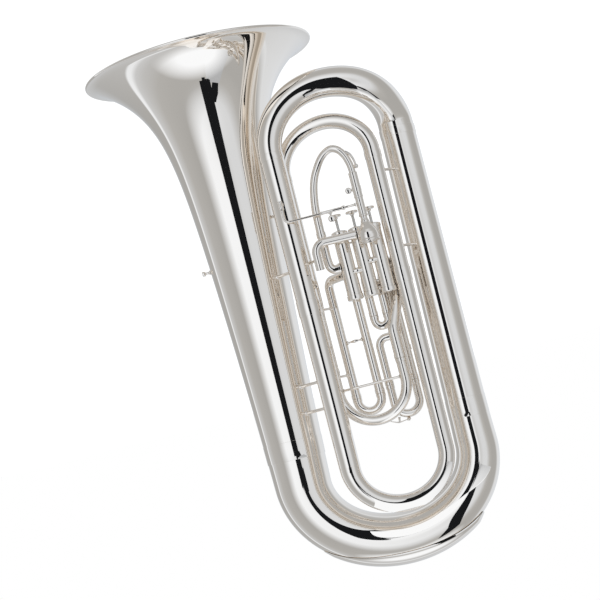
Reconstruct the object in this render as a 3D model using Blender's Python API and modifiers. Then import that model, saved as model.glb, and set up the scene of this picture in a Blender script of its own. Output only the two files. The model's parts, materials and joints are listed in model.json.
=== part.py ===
"""Three-valve convertible tuba in silver-plated brass, standing on the rim of its bell.

Metres, +Z up. The bell's mouth rests on the ground (Z = 0), the bottom bow is the highest point, and the valves,
the leadpipe and the mouthpiece are on the -Y side. Sizes below are in millimetres and MM turns them into metres.
"""

import math

import bmesh
import bpy
from mathutils import Matrix, Vector

MM = 0.001
GAP = 0.35  # air between two pieces that touch on the real object
BOW_LEAD = 4.0  # straight length at each end of a bow

# ---- driving sizes, in millimetres -------------------------------------------------------------------------------

BELL_X = 78.5
BELL_RIM_R = 225.0
BELL_WALL = 1.2
BEAD_R = 2.5
BELL_TOP_Z = 774.5
BELL_STEPS = 28

BOTTOM_BOW_Z = 843.0  # height where its straight legs end
BOTTOM_BOW_RISE = 140.5
BOTTOM_BOW_R = (56.0, 38.4)
BOTTOM_BOW_END_Z = 774.5 + GAP

OUTER_BRANCH = {"bottom": (-259.6, -30.0, 774.5), "top": (-262.8, -30.0, 232.0), "r": (38.4, 34.2)}
LEFT_BRANCH = {"top": (-15.2, -98.0, 232.0), "bottom": (-15.6, -98.0, 830.0), "r": (23.2, 19.6)}
INNER_BRANCH = {"bottom": (-197.4, -98.0, 830.0), "top": (-201.6, -98.0, 273.0), "r": (15.2, 15.5)}
BACK_BRANCH = {"top": (-29.8, -56.0, 273.0), "bottom": (-30.4, -56.0, 656.0), "r": (13.6, 10.6)}

TOP_BOW_RISE = 115.0
TOP_BOW_LEADS = (18.0, 4.0)  # straight lengths at the outer and left branches
TOP_BOW_LEAN = 4.0  # how far the bow's middle lies off the middle of its legs, along X
INNER_BOW_RISE = 88.0
INNER_TOP_BOW_RISE = 86.7
INNER_TOP_BOW_LEADS = (12.0, 4.0)
INNER_TOP_BOW_LEAN = -4.0

TUBE_WALL = 0.8
SLIDE_WALL = 0.7

VALVE_Y = -97.0
VALVE_X = (-104.0, -136.0, -168.0)
CASING_R = 14.0
CASING_Z = (401.0, 527.0)
CAP_R = 15.4
PISTON_R = 12.6
PISTON_Z = (414.0, 486.0)
STEM_R = 2.6
BUTTON_R = 11.7
BUTTON_Z = (366.7, 375.2)
SPRING_Z = (453.0, 522.5)

MAIN_SLIDE = {"right": (-157.5, -92.0), "left": (-30.4, -56.0), "end_z": 656.0, "bend_z": 693.5, "drop": 64.7,
              "outer_r": 10.6, "inner_r": 9.3, "crook_r": 10.0}
FIRST_SLIDE = {"right": (-106.3, -52.0), "left": (-61.3, -40.0), "end_z": 710.0, "bend_z": 716.4, "drop": 22.5,
               "outer_r": 8.6, "inner_r": 7.4, "crook_r": 8.3}
SECOND_SLIDE = {"right": (-155.0, -66.0), "left": (-129.8, -66.0), "end_z": 567.0, "bend_z": 576.0, "drop": 12.6,
                "outer_r": 8.0, "inner_r": 6.8, "crook_r": 7.8}
THIRD_SLIDE = {"right": (-176.0, -40.0), "left": (-127.6, -45.0), "end_z": 700.0, "bend_z": 735.5, "drop": 24.2,
               "outer_r": 8.0, "inner_r": 6.8, "crook_r": 7.8}

MOUTHPIECE_X = -154.0
MOUTHPIECE_Y = -140.0
RECEIVER_Z = (303.0, 387.0)
MOUTHPIECE_RIM_Z = 436.0
MOUTHPIECE_RIM_R = 21.0

# ---- materials ---------------------------------------------------------------------------------------------------

FINISHES = {  # colour, metallic, roughness
    "silver_plate": ((0.86, 0.83, 0.79, 1.0), 1.0, 0.08),
    "piston_nickel": ((0.62, 0.60, 0.56, 1.0), 1.0, 0.25),
    "spring_steel": ((0.42, 0.42, 0.43, 1.0), 1.0, 0.35),
}


def material(name):
    if name in bpy.data.materials:
        return bpy.data.materials[name]
    colour, metallic, roughness = FINISHES[name]
    made = bpy.data.materials.new(name)
    made.use_nodes = True
    shader = made.node_tree.nodes["Principled BSDF"]
    shader.inputs["Base Color"].default_value = colour
    shader.inputs["Metallic"].default_value = metallic
    shader.inputs["Roughness"].default_value = roughness
    return made


# ---- small helpers -----------------------------------------------------------------------------------------------


def start_empty_scene():
    for obj in list(bpy.data.objects):
        bpy.data.objects.remove(obj, do_unlink=True)


def collection(name):
    made = bpy.data.collections.new(name)
    bpy.context.scene.collection.children.link(made)
    return made


def add_object(name, data, finish="silver_plate", origin=(0, 0, 0)):
    obj = bpy.data.objects.new(name, data)
    obj.location = Vector(origin) * MM
    data.materials.append(material(finish))
    TUBA.objects.link(obj)
    return obj


def along(start, end, t):
    return Vector(start).lerp(Vector(end), t)


def half_ellipse(start, end, depth, steps):
    """Points of a U-bend from one leg's end to the other's; depth is how far its middle lies along Z."""
    start, end = Vector(start), Vector(end)
    middle = (start + end) / 2
    reach = (start - end) / 2
    rise = Vector((0, 0, depth))
    turns = [math.pi * i / steps for i in range(steps + 1)]
    return [middle + reach * math.cos(t) + rise * math.sin(t) for t in turns]


def bow_path(start, end, depth, steps, leads=(BOW_LEAD, BOW_LEAD), lean=0.0, swing=0):
    """A U-bend that starts GAP beyond its two legs, with a straight lead at each end and its middle moved by lean.

    With swing the bow crosses from the first leg's Y to the second's before its middle, and then keeps to it. The
    higher swing is, the nearer the first leg it crosses.
    """
    way = Vector((0, 0, math.copysign(1, depth)))
    start, end = Vector(start) + way * GAP, Vector(end) + way * GAP
    middle = (start + end) / 2 + Vector((lean, 0, 0))
    path = [start]
    for i in range(steps + 1):
        turn = math.pi * i / steps
        leg, lead = (start, leads[0]) if turn <= math.pi / 2 else (end, leads[1])
        drop = lead + (abs(depth) - lead) * math.sin(turn)
        point = middle + (leg - middle) * abs(math.cos(turn)) + way * drop
        if swing:
            point.y = end.y + (start.y - end.y) * max(0.0, math.cos(turn)) ** swing
        path.append(point)
    return path + [end]


def rounded(corners, radii, steps=4):
    """The corners as a path whose inner corners are arcs of the given radii."""
    corners = [Vector(c) for c in corners]
    path = [corners[0]]
    for before, corner, after, radius in zip(corners, corners[1:], corners[2:], radii):
        into = (corner - before).normalized()
        out = (after - corner).normalized()
        turn = into.angle(out)
        cut = radius * math.tan(turn / 2)
        first = corner - into * cut
        centre = first + (out - into * into.dot(out)).normalized() * radius
        spin = into.cross(out).normalized()
        for i in range(steps + 1):
            path.append(centre + Matrix.Rotation(turn * i / steps, 3, spin) @ (first - centre))
    path.append(corners[-1])
    return path


def tapered(path, start_r, end_r):
    """A radius for each point, changing evenly with the distance along the path."""
    lengths = [0.0]
    for a, b in zip(path, path[1:]):
        lengths.append(lengths[-1] + (Vector(b) - Vector(a)).length)
    return [start_r + (end_r - start_r) * s / lengths[-1] for s in lengths]


def curve_data(name, path, radii, sides, capped):
    data = bpy.data.curves.new(name, "CURVE")
    data.dimensions = "3D"
    data.bevel_depth = MM
    data.bevel_resolution = (sides - 4) // 2
    data.render_resolution_u = 0
    data.use_fill_caps = capped
    spline = data.splines.new("POLY")
    spline.points.add(len(path) - 1)
    for point, place, radius in zip(spline.points, path, radii):
        point.co = (*(Vector(place) * MM), 1.0)
        point.radius = radius
    return data


def rod(name, path, radii, sides=12, finish="silver_plate", origin=(0, 0, 0)):
    """A solid bar along the path."""
    path = [Vector(p) - Vector(origin) for p in path]
    return add_object(name, curve_data(name, path, radii, sides, True), finish, origin)


def pipe(name, path, radii, wall=TUBE_WALL, sides=14, origin=(0, 0, 0)):
    """A hollow tube along the path, open at both ends."""
    path = [Vector(p) - Vector(origin) for p in path]
    guide = bpy.data.objects.new(name + "_guide", curve_data(name, path, radii, sides, False))
    TUBA.objects.link(guide)
    evaluated = guide.evaluated_get(bpy.context.evaluated_depsgraph_get())
    skin = bpy.data.meshes.new_from_object(evaluated)
    skin.name = name
    bpy.data.objects.remove(guide, do_unlink=True)
    obj = add_object(name, skin, origin=origin)
    walls = obj.modifiers.new("walls", "SOLIDIFY")
    walls.thickness = wall * MM
    walls.offset = -1
    walls.use_even_offset = True
    return obj


def turned(name, profile, closed, steps=16, finish="silver_plate", origin=(0, 0, 0)):
    """A lathe-turned piece about its own Z; the profile's (radius, height) pairs run down its outer side."""
    mesh = bpy.data.meshes.new(name)
    build = bmesh.new()
    verts = [build.verts.new((r * MM, 0, z * MM)) for r, z in profile]
    for a, b in zip(verts, verts[1:]):
        build.edges.new((a, b))
    if closed:
        build.edges.new((verts[-1], verts[0]))
    build.to_mesh(mesh)
    build.free()
    obj = add_object(name, mesh, finish, origin)
    lathe = obj.modifiers.new("lathe", "SCREW")
    lathe.axis = "Z"
    lathe.steps = steps
    lathe.render_steps = steps
    lathe.use_merge_vertices = True
    lathe.merge_threshold = 1e-5
    return obj


def point_along(obj, direction):
    """Turns the piece so that its own +Z points along direction."""
    obj.rotation_mode = "QUATERNION"
    obj.rotation_quaternion = Vector(direction).to_track_quat("Z", "Y")


def ring(name, centre, direction, bore_r, outer_r, length, steps=20):
    """A ferrule, with softened outer edges."""
    half = length / 2
    edge = 0.6
    profile = [(bore_r, half), (outer_r - edge, half), (outer_r, half - edge), (outer_r, edge - half),
               (outer_r - edge, -half), (bore_r, -half)]
    obj = turned(name, profile, True, steps, origin=centre)
    point_along(obj, direction)
    return obj


def stay(name, start, end, rod_r=2.4, foot_r=5.0):
    """A straight brace with a round foot at each end."""
    length = (Vector(end) - Vector(start)).length
    foot = 1.6
    flare = 4.0
    profile = [(0, length), (foot_r, length), (foot_r, length - foot), (rod_r, length - flare),
               (rod_r, flare), (foot_r, foot), (foot_r, 0), (0, 0)]
    obj = turned(name, profile, False, 12, origin=start)
    point_along(obj, Vector(end) - Vector(start))
    return obj


def thumb_screw(name, tip, direction, stem=5.0, head_r=6.6, squeeze=(1.0, 0.42, 1.0)):
    """A screw with a round flat paddle, its own +Z running from the paddle to the tip."""
    stem_r = 2.0
    points = 7
    first = math.asin(stem_r / head_r)
    angles = [first + (math.pi - first) * i / points for i in range(points + 1)]
    low = -stem - head_r * math.cos(first)
    head = [(head_r * math.sin(a), low + head_r * math.cos(a)) for a in angles]
    head[-1] = (0.0, low - head_r)
    obj = turned(name, [(0, 0), (stem_r, 0)] + head, False, 12, origin=tip)
    obj.scale = squeeze
    point_along(obj, direction)
    return obj


# ---- bell and large bore -----------------------------------------------------------------------------------------


def bell_radius(z):
    """Outer radius of the bell: a slightly curved throat with an exponential flare."""
    up = BELL_TOP_Z - 7.5 - z
    throat = 56.6 + 0.036 * up + 2.9e-5 * up * up
    return throat + 119.0 * math.exp(-z / 70.0) + 4.7 * math.exp(-z / 8.0)


def bell():
    rows = 12
    low, high = 6.5, BELL_TOP_Z
    heights = [low + (high - low) * (i / rows) ** 1.8 for i in range(rows, -1, -1)]
    outer = [(bell_radius(z), z) for z in heights]
    inner = []
    for r, z in outer:
        slope = (bell_radius(z + 0.5) - bell_radius(z - 0.5)) / 1.0
        size = math.hypot(1.0, slope)
        inner.append((r - BELL_WALL / size, max(z + BELL_WALL * slope / size, BEAD_R)))
    inner[0] = (outer[0][0] - BELL_WALL, high)
    bead = [(BELL_RIM_R - 0.9, 2 * BEAD_R), (BELL_RIM_R, BEAD_R + 1.0), (BELL_RIM_R, BEAD_R - 1.0),
            (BELL_RIM_R - 0.9, 0), (BELL_RIM_R - 5.0, 0), (BELL_RIM_R - 6.0, 1.2)]
    turned("bell", outer + bead + inner[::-1], True, BELL_STEPS, origin=(BELL_X, 0, 0))


def large_bows():
    bell_leg = (BELL_X, 0.0, BOTTOM_BOW_END_Z)
    outer_x, outer_y, outer_z = OUTER_BRANCH["bottom"]
    outer_leg = (outer_x, outer_y, BOTTOM_BOW_END_Z)
    bend = half_ellipse((BELL_X, 0, BOTTOM_BOW_Z), (outer_x, outer_y, BOTTOM_BOW_Z), BOTTOM_BOW_RISE, 14)
    path = [Vector(bell_leg)] + bend + [Vector(outer_leg)]
    pipe("bottom_bow", path, tapered(path, *BOTTOM_BOW_R), 1.0, 18)
    ring("bell_ferrule", (BELL_X, 0, BELL_TOP_Z), (0, 0, 1), 57.6, 59.0, 36, 24)
    ring("bow_ferrule", (outer_x, outer_y, outer_z), (0, 0, 1), 39.3, 40.4, 36, 24)

    top = Vector(OUTER_BRANCH["top"])
    pipe("outer_branch", [OUTER_BRANCH["bottom"], top], OUTER_BRANCH["r"], 1.0, 18)

    path = bow_path(top, LEFT_BRANCH["top"], -TOP_BOW_RISE, 14, TOP_BOW_LEADS, TOP_BOW_LEAN, swing=5)
    pipe("top_bow", path, tapered(path, OUTER_BRANCH["r"][1], LEFT_BRANCH["r"][0]), 0.9)
    pipe("left_branch", [LEFT_BRANCH["top"], LEFT_BRANCH["bottom"]], LEFT_BRANCH["r"], 0.9)

    path = bow_path(LEFT_BRANCH["bottom"], INNER_BRANCH["bottom"], INNER_BOW_RISE, 10)
    wide, narrow = LEFT_BRANCH["r"][1], INNER_BRANCH["r"][0]
    last = len(path) - 1
    pipe("inner_bow", path, [narrow + (wide - narrow) * (1 - i / last) ** 2 for i in range(last + 1)])
    pipe("inner_right_branch", [INNER_BRANCH["bottom"], INNER_BRANCH["top"]], INNER_BRANCH["r"])
    middle = along(INNER_BRANCH["bottom"], INNER_BRANCH["top"], 0.58)
    ring("inner_ferrule", middle, (0, 0, 1), 16.0, 17.0, 28)

    path = bow_path(INNER_BRANCH["top"], BACK_BRANCH["top"], -INNER_TOP_BOW_RISE, 10, INNER_TOP_BOW_LEADS,
                    INNER_TOP_BOW_LEAN)
    pipe("inner_top_bow", path, tapered(path, INNER_BRANCH["r"][1], BACK_BRANCH["r"][0]))

    top, bottom = BACK_BRANCH["top"], BACK_BRANCH["bottom"]
    stations = [(0.0, 13.6), (0.65, 12.6), (0.72, 10.6), (1.0, 10.6)]
    pipe("back_branch", [along(top, bottom, t) for t, r in stations], [r for t, r in stations], SLIDE_WALL)


def bow_guard():
    """A crescent-shaped cap over the outside of the bottom bow, thicker toward the outer branch."""
    left, right = Vector((BELL_X, 0, BOTTOM_BOW_Z)), Vector((*OUTER_BRANCH["bottom"][:2], BOTTOM_BOW_Z))
    middle, reach = (left + right) / 2, (left - right) / 2
    rise = Vector((0, 0, BOTTOM_BOW_RISE))
    first, last = math.radians(42), math.radians(136)
    wide, narrow = BOTTOM_BOW_R
    lead_share = 0.11  # the part of the bow's length that each straight end takes
    clearance = 1.1
    mesh = bpy.data.meshes.new("bow_guard")
    build = bmesh.new()
    bmesh.ops.create_grid(build, x_segments=14, y_segments=8, size=1.0)
    sheet = bmesh.ops.extrude_face_region(build, geom=build.faces[:])
    raised = {v for v in sheet["geom"] if isinstance(v, bmesh.types.BMVert)}
    for vert in build.verts:
        s, side = (vert.co.x + 1) / 2, vert.co.y
        turn = first + (last - first) * s
        out = (reach * math.cos(turn) / reach.length_squared + rise * math.sin(turn) / rise.length_squared)
        out.normalize()
        across = out.cross(-reach * math.sin(turn) + rise * math.cos(turn)).normalized()
        spread = math.radians(20 + 36 * math.sin(math.pi * s)) * side
        tube_r = wide + (narrow - wide) * (lead_share + (1 - 2 * lead_share) * turn / math.pi)
        thick = (1.6 + 4.6 * s) * (1 - 0.7 * side * side) if vert in raised else 0.0
        radius = tube_r + clearance + thick
        centre = middle + reach * math.cos(turn) + rise * math.sin(turn)
        vert.co = (centre + (out * math.cos(spread) + across * math.sin(spread)) * radius) * MM
    bmesh.ops.recalc_face_normals(build, faces=build.faces[:])
    build.to_mesh(mesh)
    build.free()
    add_object("bow_guard", mesh)


# ---- valves ------------------------------------------------------------------------------------------------------


def valve(number, x):
    place = (x, VALVE_Y, 0)
    low, high = CASING_Z
    bore = CASING_R - SLIDE_WALL
    casing = [(bore, high), (CASING_R, high), (CASING_R, low), (bore, low)]
    turned(f"valve_casing_{number}", casing, True, origin=place)

    skirt = CASING_R + 0.4
    top = [(skirt, low + 5), (CAP_R, low + 5), (CAP_R, low), (CAP_R - 3, low - 2.6), (STEM_R + 3, low - 3.6),
           (STEM_R + 1, low - 3.6), (STEM_R + 1, low - GAP), (skirt, low - GAP)]
    turned(f"top_cap_{number}", top, True, origin=place)
    vent_r = 2.5
    bottom = [(vent_r, high + 4.6), (CAP_R - 1.5, high + 4.6), (CAP_R, high + 3.4), (CAP_R, high - 4),
              (skirt, high - 4), (skirt, high + GAP), (vent_r, high + GAP)]
    turned(f"bottom_cap_{number}", bottom, True, origin=place)

    start, end = PISTON_Z
    cup_r, cup_floor = 9.6, SPRING_Z[0] - 0.8
    piston = [(0, cup_floor), (cup_r, cup_floor), (cup_r, end), (PISTON_R, end), (PISTON_R, start),
              (STEM_R, start), (STEM_R, BUTTON_Z[1] + GAP), (0, BUTTON_Z[1] + GAP)]
    turned(f"piston_{number}", piston, False, 16, "piston_nickel", place)

    low, high = BUTTON_Z
    button = [(0, high), (4.4, high), (5.2, high - 3.2), (BUTTON_R, high - 3.6), (BUTTON_R, low + 1.5),
              (BUTTON_R - 1.8, low), (0, low)]
    turned(f"button_{number}", button, False, 16, origin=place)

    turns, facets, coil_r, wire_r = 5, 7, 7.4, 0.8
    start, end = SPRING_Z[0] + wire_r, SPRING_Z[1] - wire_r
    count = turns * facets
    coil = []
    for i in range(count + 1):
        angle = 2 * math.pi * i / facets
        coil.append((coil_r * math.cos(angle), coil_r * math.sin(angle), start + (end - start) * i / count))
    rod(f"spring_{number}", [Vector(p) + Vector(place) for p in coil], [wire_r] * (count + 1), 4,
        "spring_steel", place)


def knuckles():
    """Short bridges that carry the air from one casing to the next."""
    for name, left, z in (("knuckle_12", 0, 479.0), ("knuckle_23", 1, 466.5)):
        x = (VALVE_X[left] + VALVE_X[left + 1]) / 2
        r = 4.8
        arc = [math.pi * i / 8 for i in range(9)]
        ball = [(r * math.sin(a), r * math.cos(a)) for a in arc]
        ball[0], ball[-1] = (0, r), (0, -r)
        turned(name, ball, False, 12, origin=(x, VALVE_Y - 11.0, z))


# ---- tuning slides -----------------------------------------------------------------------------------------------


def crook(name, slide, insertion):
    """The U-bend that pulls out: thinner legs inside the fixed tubes, then the bend."""
    left, right = [(*slide[side], 0) for side in ("left", "right")]
    centre = along(left, right, 0.5)
    end_z, bend_z = slide["end_z"], slide["bend_z"]
    lift = Vector((0, 0, 1))
    bend = half_ellipse(Vector(left) + lift * bend_z, Vector(right) + lift * bend_z, slide["drop"], 9)
    inside, outside = slide["inner_r"], slide["crook_r"]
    stations = [(end_z - insertion, inside), (end_z + GAP, inside), (end_z + GAP + 0.6, outside)]
    down = [Vector(left) + lift * z for z, r in stations]
    up = [Vector(right) + lift * z for z, r in reversed(stations)]
    radii = [r for z, r in stations]
    pipe(name, down + bend + up, radii + [outside] * len(bend) + radii[::-1], SLIDE_WALL, 10,
         origin=centre + lift * bend_z)


def port(valve_index, leg, z):
    """The point just clear of a casing, on the line from the leg to the valve's axis."""
    axis = Vector((VALVE_X[valve_index], VALVE_Y, z))
    toward = Vector((*leg, z)) - axis
    return axis + toward.normalized() * (CASING_R + GAP + 0.3)


def slide_leg(name, slide, side, valve_index, port_z, bend_r):
    """A fixed leg: straight up from the slide's mouth, then an elbow into its valve."""
    leg = slide[side]
    corners = [(*leg, slide["end_z"]), (*leg, port_z), port(valve_index, leg, port_z)]
    path = rounded(corners, [bend_r])
    pipe(name, path, [slide["outer_r"]] * len(path), SLIDE_WALL, 10)


def first_slide():
    slide_leg("first_slide_inlet", FIRST_SLIDE, "left", 0, 480.0, 16)
    slide_leg("first_slide_outlet", FIRST_SLIDE, "right", 0, 508.0, 13)
    crook("first_slide_crook", FIRST_SLIDE, 80)
    clear = FIRST_SLIDE["outer_r"] + GAP
    left, right = [Vector((*FIRST_SLIDE[side], 603.0)) for side in ("left", "right")]
    toward = (right - left).normalized()
    stay("first_slide_stay", left + toward * clear, right - toward * clear, 1.6, 4.0)


def second_slide():
    slide_leg("second_slide_inlet", SECOND_SLIDE, "left", 1, 493.0, 10)
    slide_leg("second_slide_outlet", SECOND_SLIDE, "right", 1, 512.0, 12)
    crook("second_slide_crook", SECOND_SLIDE, 38)


def third_slide():
    slide_leg("third_slide_inlet", THIRD_SLIDE, "right", 2, 448.0, 16)
    x, y = THIRD_SLIDE["left"]
    back = (-162.0, -50.5)
    arch_z, port_z = 610.0, 494.0
    corners = [(x, y, THIRD_SLIDE["end_z"]), (x, y, arch_z), (*back, arch_z), (*back, port_z),
               port(2, back, port_z)]
    path = rounded(corners, [23.5, 10.0, 12.0])
    pipe("third_slide_outlet", path, [THIRD_SLIDE["outer_r"] - 0.2] * len(path), SLIDE_WALL, 10)
    crook("third_slide_crook", THIRD_SLIDE, 56)


def water_key():
    """A lever over the third crook's drain hole, cut from flat bar; it rocks about its middle."""
    outline = [(-21, 3.2), (-16, 3.2), (-14.5, 0.4), (-3.5, 1.8), (0, 3.0), (3.5, 1.6), (16, -3.4), (23, -9.6),
               (22, -11.4), (14, -5.8), (3, -1.4), (-15.5, -2.2), (-21, -2.2)]
    data = bpy.data.curves.new("water_key", "CURVE")
    data.dimensions = "2D"
    data.fill_mode = "BOTH"
    data.extrude = 2.6 * MM
    data.render_resolution_u = 0
    spline = data.splines.new("POLY")
    spline.points.add(len(outline) - 1)
    for point, (x, z) in zip(spline.points, outline):
        point.co = (x * MM, -z * MM, 0, 1)
    spline.use_cyclic_u = True
    obj = add_object("water_key", data, origin=(-128.5, -44.5, 771.5))
    obj.rotation_euler = (math.radians(90), 0, 0)


def main_slide():
    leg, end_z = MAIN_SLIDE["right"], MAIN_SLIDE["end_z"]
    back = (-183.7, -69.0)
    port_z = 475.0
    corners = [(*leg, end_z), (*leg, 600.0), (*back, 536.0), (*back, port_z), port(2, back, port_z)]
    path = rounded(corners, [30.0, 30.0, 12.0])
    pipe("main_slide_inlet", path, [MAIN_SLIDE["outer_r"]] * len(path), SLIDE_WALL, 10)
    crook("main_slide_crook", MAIN_SLIDE, 46)
    clear = MAIN_SLIDE["crook_r"] + GAP
    left, right = [Vector((*MAIN_SLIDE[side], 689.5)) for side in ("left", "right")]
    toward = (right - left).normalized()
    stay("main_slide_stay", left + toward * clear, right - toward * clear, 2.4, 3.6)


# ---- leadpipe and mouthpiece -------------------------------------------------------------------------------------


def leadpipe():
    arch = [(-78.5, -97.0, 466.0), (-72.5, -97.5, 460.5), (-70.3, -98.5, 450.0), (-70.2, -100.0, 420.0),
            (-70.4, -102.0, 385.0), (-72.2, -105.0, 344.0), (-78.4, -110.0, 308.5), (-84.9, -113.5, 290.0),
            (-93.2, -118.0, 275.2), (-103.2, -123.5, 261.5), (-114.5, -129.0, 252.5), (-126.0, -134.0, 249.3),
            (-137.5, -137.5, 254.5), (-146.5, -139.3, 266.5), (-152.2, -140.0, 284.0)]
    path = [port(0, (-70.0, VALVE_Y), 466.0)] + [Vector(p) for p in arch]
    mouth = RECEIVER_Z[0] - GAP
    path += [Vector((MOUTHPIECE_X, MOUTHPIECE_Y, z)) for z in (mouth - 3, mouth)]
    pipe("leadpipe", path, tapered(path, 8.6, 6.4), TUBE_WALL, 10)


def receiver_tube():
    low, high = RECEIVER_Z
    bore_low, bore_high = 5.4, 7.0
    profile = [(bore_high, high), (8.6, high), (8.6, high - 3), (7.5, high - 4.5), (7.5, high - 36),
               (8.4, high - 36.4), (8.4, low + 1), (7.8, low), (bore_low, low)]
    turned("receiver", profile, True, 16, origin=(MOUTHPIECE_X, MOUTHPIECE_Y, 0))


def mouthpiece():
    rim, r = MOUTHPIECE_RIM_Z, MOUTHPIECE_RIM_R
    shank_end = RECEIVER_Z[1] - 32
    outer = [(r - 2.8, rim), (r - 0.7, rim - 1.2), (r, rim - 3.2), (r - 0.8, rim - 7), (r - 1.6, rim - 13),
             (r - 3.4, rim - 21), (r - 6.6, rim - 28), (r - 11.0, rim - 35), (8.2, rim - 40), (6.6, rim - 44),
             (6.3, RECEIVER_Z[1] + 0.5), (5.2, shank_end)]
    inner = [(4.1, shank_end), (3.9, rim - 36), (5.0, rim - 32), (11.0, rim - 24), (14.6, rim - 14),
             (16.2, rim - 4), (r - 3.6, rim)]
    turned("mouthpiece", outer + inner, True, 18, origin=(MOUTHPIECE_X, MOUTHPIECE_Y, 0))


def mouthpipe_brace():
    """A telescoping rod from the left branch to the receiver, with its adjusting screw and the receiver's screw."""
    z = 362.3
    corners = [(-9.5, -125.0, 329.0), (-10.5, -127.5, z), (-145.0, -139.2, z)]
    bend = rounded(corners, [8.0], 4)
    elbow, end = bend[:-1], bend[-1]
    rod_end = elbow[-1]
    stations = [(0.47, 2.2), (0.475, 3.3), (0.80, 3.3), (0.805, 4.0), (0.83, 4.0), (0.835, 2.2)]
    path = elbow + [along(rod_end, end, t) for t, r in stations] + [end]
    radii = [3.6, 3.0] + [2.2] * (len(elbow) - 2) + [r for t, r in stations] + [2.2]
    rod("mouthpipe_brace", path, radii)
    thumb_screw("brace_screw", (-96.0, -134.6, z + 3.9), (0, 0, -1), 4.0)
    thumb_screw("receiver_screw", (MOUTHPIECE_X + 8.9, MOUTHPIECE_Y, 334.5), (-1, 0, 0), 1.0, 6.0, (0.42, 1.0, 1.0))


# ---- grip, braces and fittings -----------------------------------------------------------------------------------


def hand_grip():
    z = 414.5
    corners = [(-132.0, -126.5, z), (-52.5, -126.5, z), (-52.5, -126.5, 464.0)]
    path = rounded(corners, [19.0])
    pipe("hand_grip", path, [8.0] * len(path), 1.2, 10)
    stay("grip_brace", (-40.0, -104.5, 443.5), (-47.0, -119.5, 443.5), 2.4, 4.0)


def braces():
    bell_height = {"bell_brace_upper": 449.5, "bell_brace_lower": 662.0}
    for name, z in bell_height.items():
        wall = bell_radius(z)
        tube = Vector((-15.4, -98.0, z))
        foot = Vector((BELL_X, 0, z))
        toward = (tube - foot).normalized()
        stay(name, foot + toward * (wall + 0.6), tube - toward * 23.0, 2.8, 6.0)
    tube, leg = Vector((-15.4, -98.0, 532.0)), Vector((*FIRST_SLIDE["left"], 532.0))
    toward = (leg - tube).normalized()
    stay("slide_brace", tube + toward * 22.6, leg - toward * 9.1, 2.4, 5.0)
    inner, outer = Vector((-201.4, -98.0, 303.5)), Vector((-262.4, -30.0, 303.5))
    toward = (outer - inner).normalized()
    stay("branch_brace", inner + toward * 16.4, outer - toward * 35.7, 2.6, 5.0)


def strap_knob():
    """A turned stud on the bell's far side for the carrying strap."""
    z = 404.0
    length = 16.0
    profile = [(0, length), (4.4, length), (5.0, length - 1), (5.0, length - 5), (3.0, length - 6.5), (2.4, 5),
               (4.6, 1.4), (4.6, 0), (0, 0)]
    obj = turned("strap_knob", profile, False, 14, origin=(BELL_X + bell_radius(z) + 0.6, 0, z))
    point_along(obj, (1, 0, 0))


# ---- assembly ----------------------------------------------------------------------------------------------------

MOVING = {
    "valve_1": ("piston_1", "button_1"),
    "valve_2": ("piston_2", "button_2"),
    "valve_3": ("piston_3", "button_3"),
    "main_slide": ("main_slide_crook", "main_slide_stay"),
    "first_slide": ("first_slide_crook",),
    "second_slide": ("second_slide_crook",),
    "third_slide": ("third_slide_crook",),
    "water_key_lever": ("water_key",),
    "mouthpiece_body": ("mouthpiece",),
    "brace_screw_body": ("brace_screw",),
    "receiver_screw_body": ("receiver_screw",),
}


def group_bodies():
    """An empty on each joint's axis carries the pieces that move together."""
    bpy.context.view_layer.update()
    for name, members in MOVING.items():
        pivot = bpy.data.objects.new(name, None)
        pivot.location = bpy.data.objects[members[0]].matrix_world.translation
        TUBA.objects.link(pivot)
        bpy.context.view_layer.update()
        for member in members:
            obj = bpy.data.objects[member]
            obj.parent = pivot
            obj.matrix_parent_inverse = pivot.matrix_world.inverted()


start_empty_scene()
TUBA = collection("tuba")
bell()
large_bows()
bow_guard()
for index, valve_x in enumerate(VALVE_X):
    valve(index + 1, valve_x)
knuckles()
main_slide()
first_slide()
second_slide()
third_slide()
water_key()
leadpipe()
receiver_tube()
mouthpiece()
mouthpipe_brace()
hand_grip()
braces()
strap_knob()
group_bodies()
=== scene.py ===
"""The look of the convertible tuba: smooth silver-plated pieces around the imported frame, light and camera.

The frame is in metres, +Z up, and the bell's rim rests on the floor at Z = 0. Lengths of the tuba are in
millimetres and MM turns them into metres; the stage is in metres. Each visible piece rides on the body of the
CAD node it stands for.
"""

import json
import math

import bmesh
import bpy
import numpy as np
from mathutils import Matrix, Vector


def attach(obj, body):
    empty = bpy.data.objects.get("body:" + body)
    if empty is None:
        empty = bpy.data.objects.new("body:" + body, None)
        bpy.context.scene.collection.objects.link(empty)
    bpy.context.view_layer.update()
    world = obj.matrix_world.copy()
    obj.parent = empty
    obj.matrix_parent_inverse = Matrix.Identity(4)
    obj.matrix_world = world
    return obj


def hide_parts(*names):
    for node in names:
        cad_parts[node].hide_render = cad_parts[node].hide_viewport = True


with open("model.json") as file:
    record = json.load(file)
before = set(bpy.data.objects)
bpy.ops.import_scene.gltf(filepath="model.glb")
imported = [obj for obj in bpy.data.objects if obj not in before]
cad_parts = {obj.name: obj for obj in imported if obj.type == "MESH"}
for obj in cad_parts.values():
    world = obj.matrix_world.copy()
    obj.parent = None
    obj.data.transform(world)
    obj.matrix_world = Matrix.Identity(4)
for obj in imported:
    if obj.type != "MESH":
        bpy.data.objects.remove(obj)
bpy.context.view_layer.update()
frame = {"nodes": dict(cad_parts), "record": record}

MM = 0.001
SHARP = math.radians(38)
BODY_OF = {n: b for b, members in frame["record"]["behaviour"]["bodies"].items() for n in members}

# ---- sizes shared with the CAD, in millimetres ---------------------------------------------------

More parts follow.
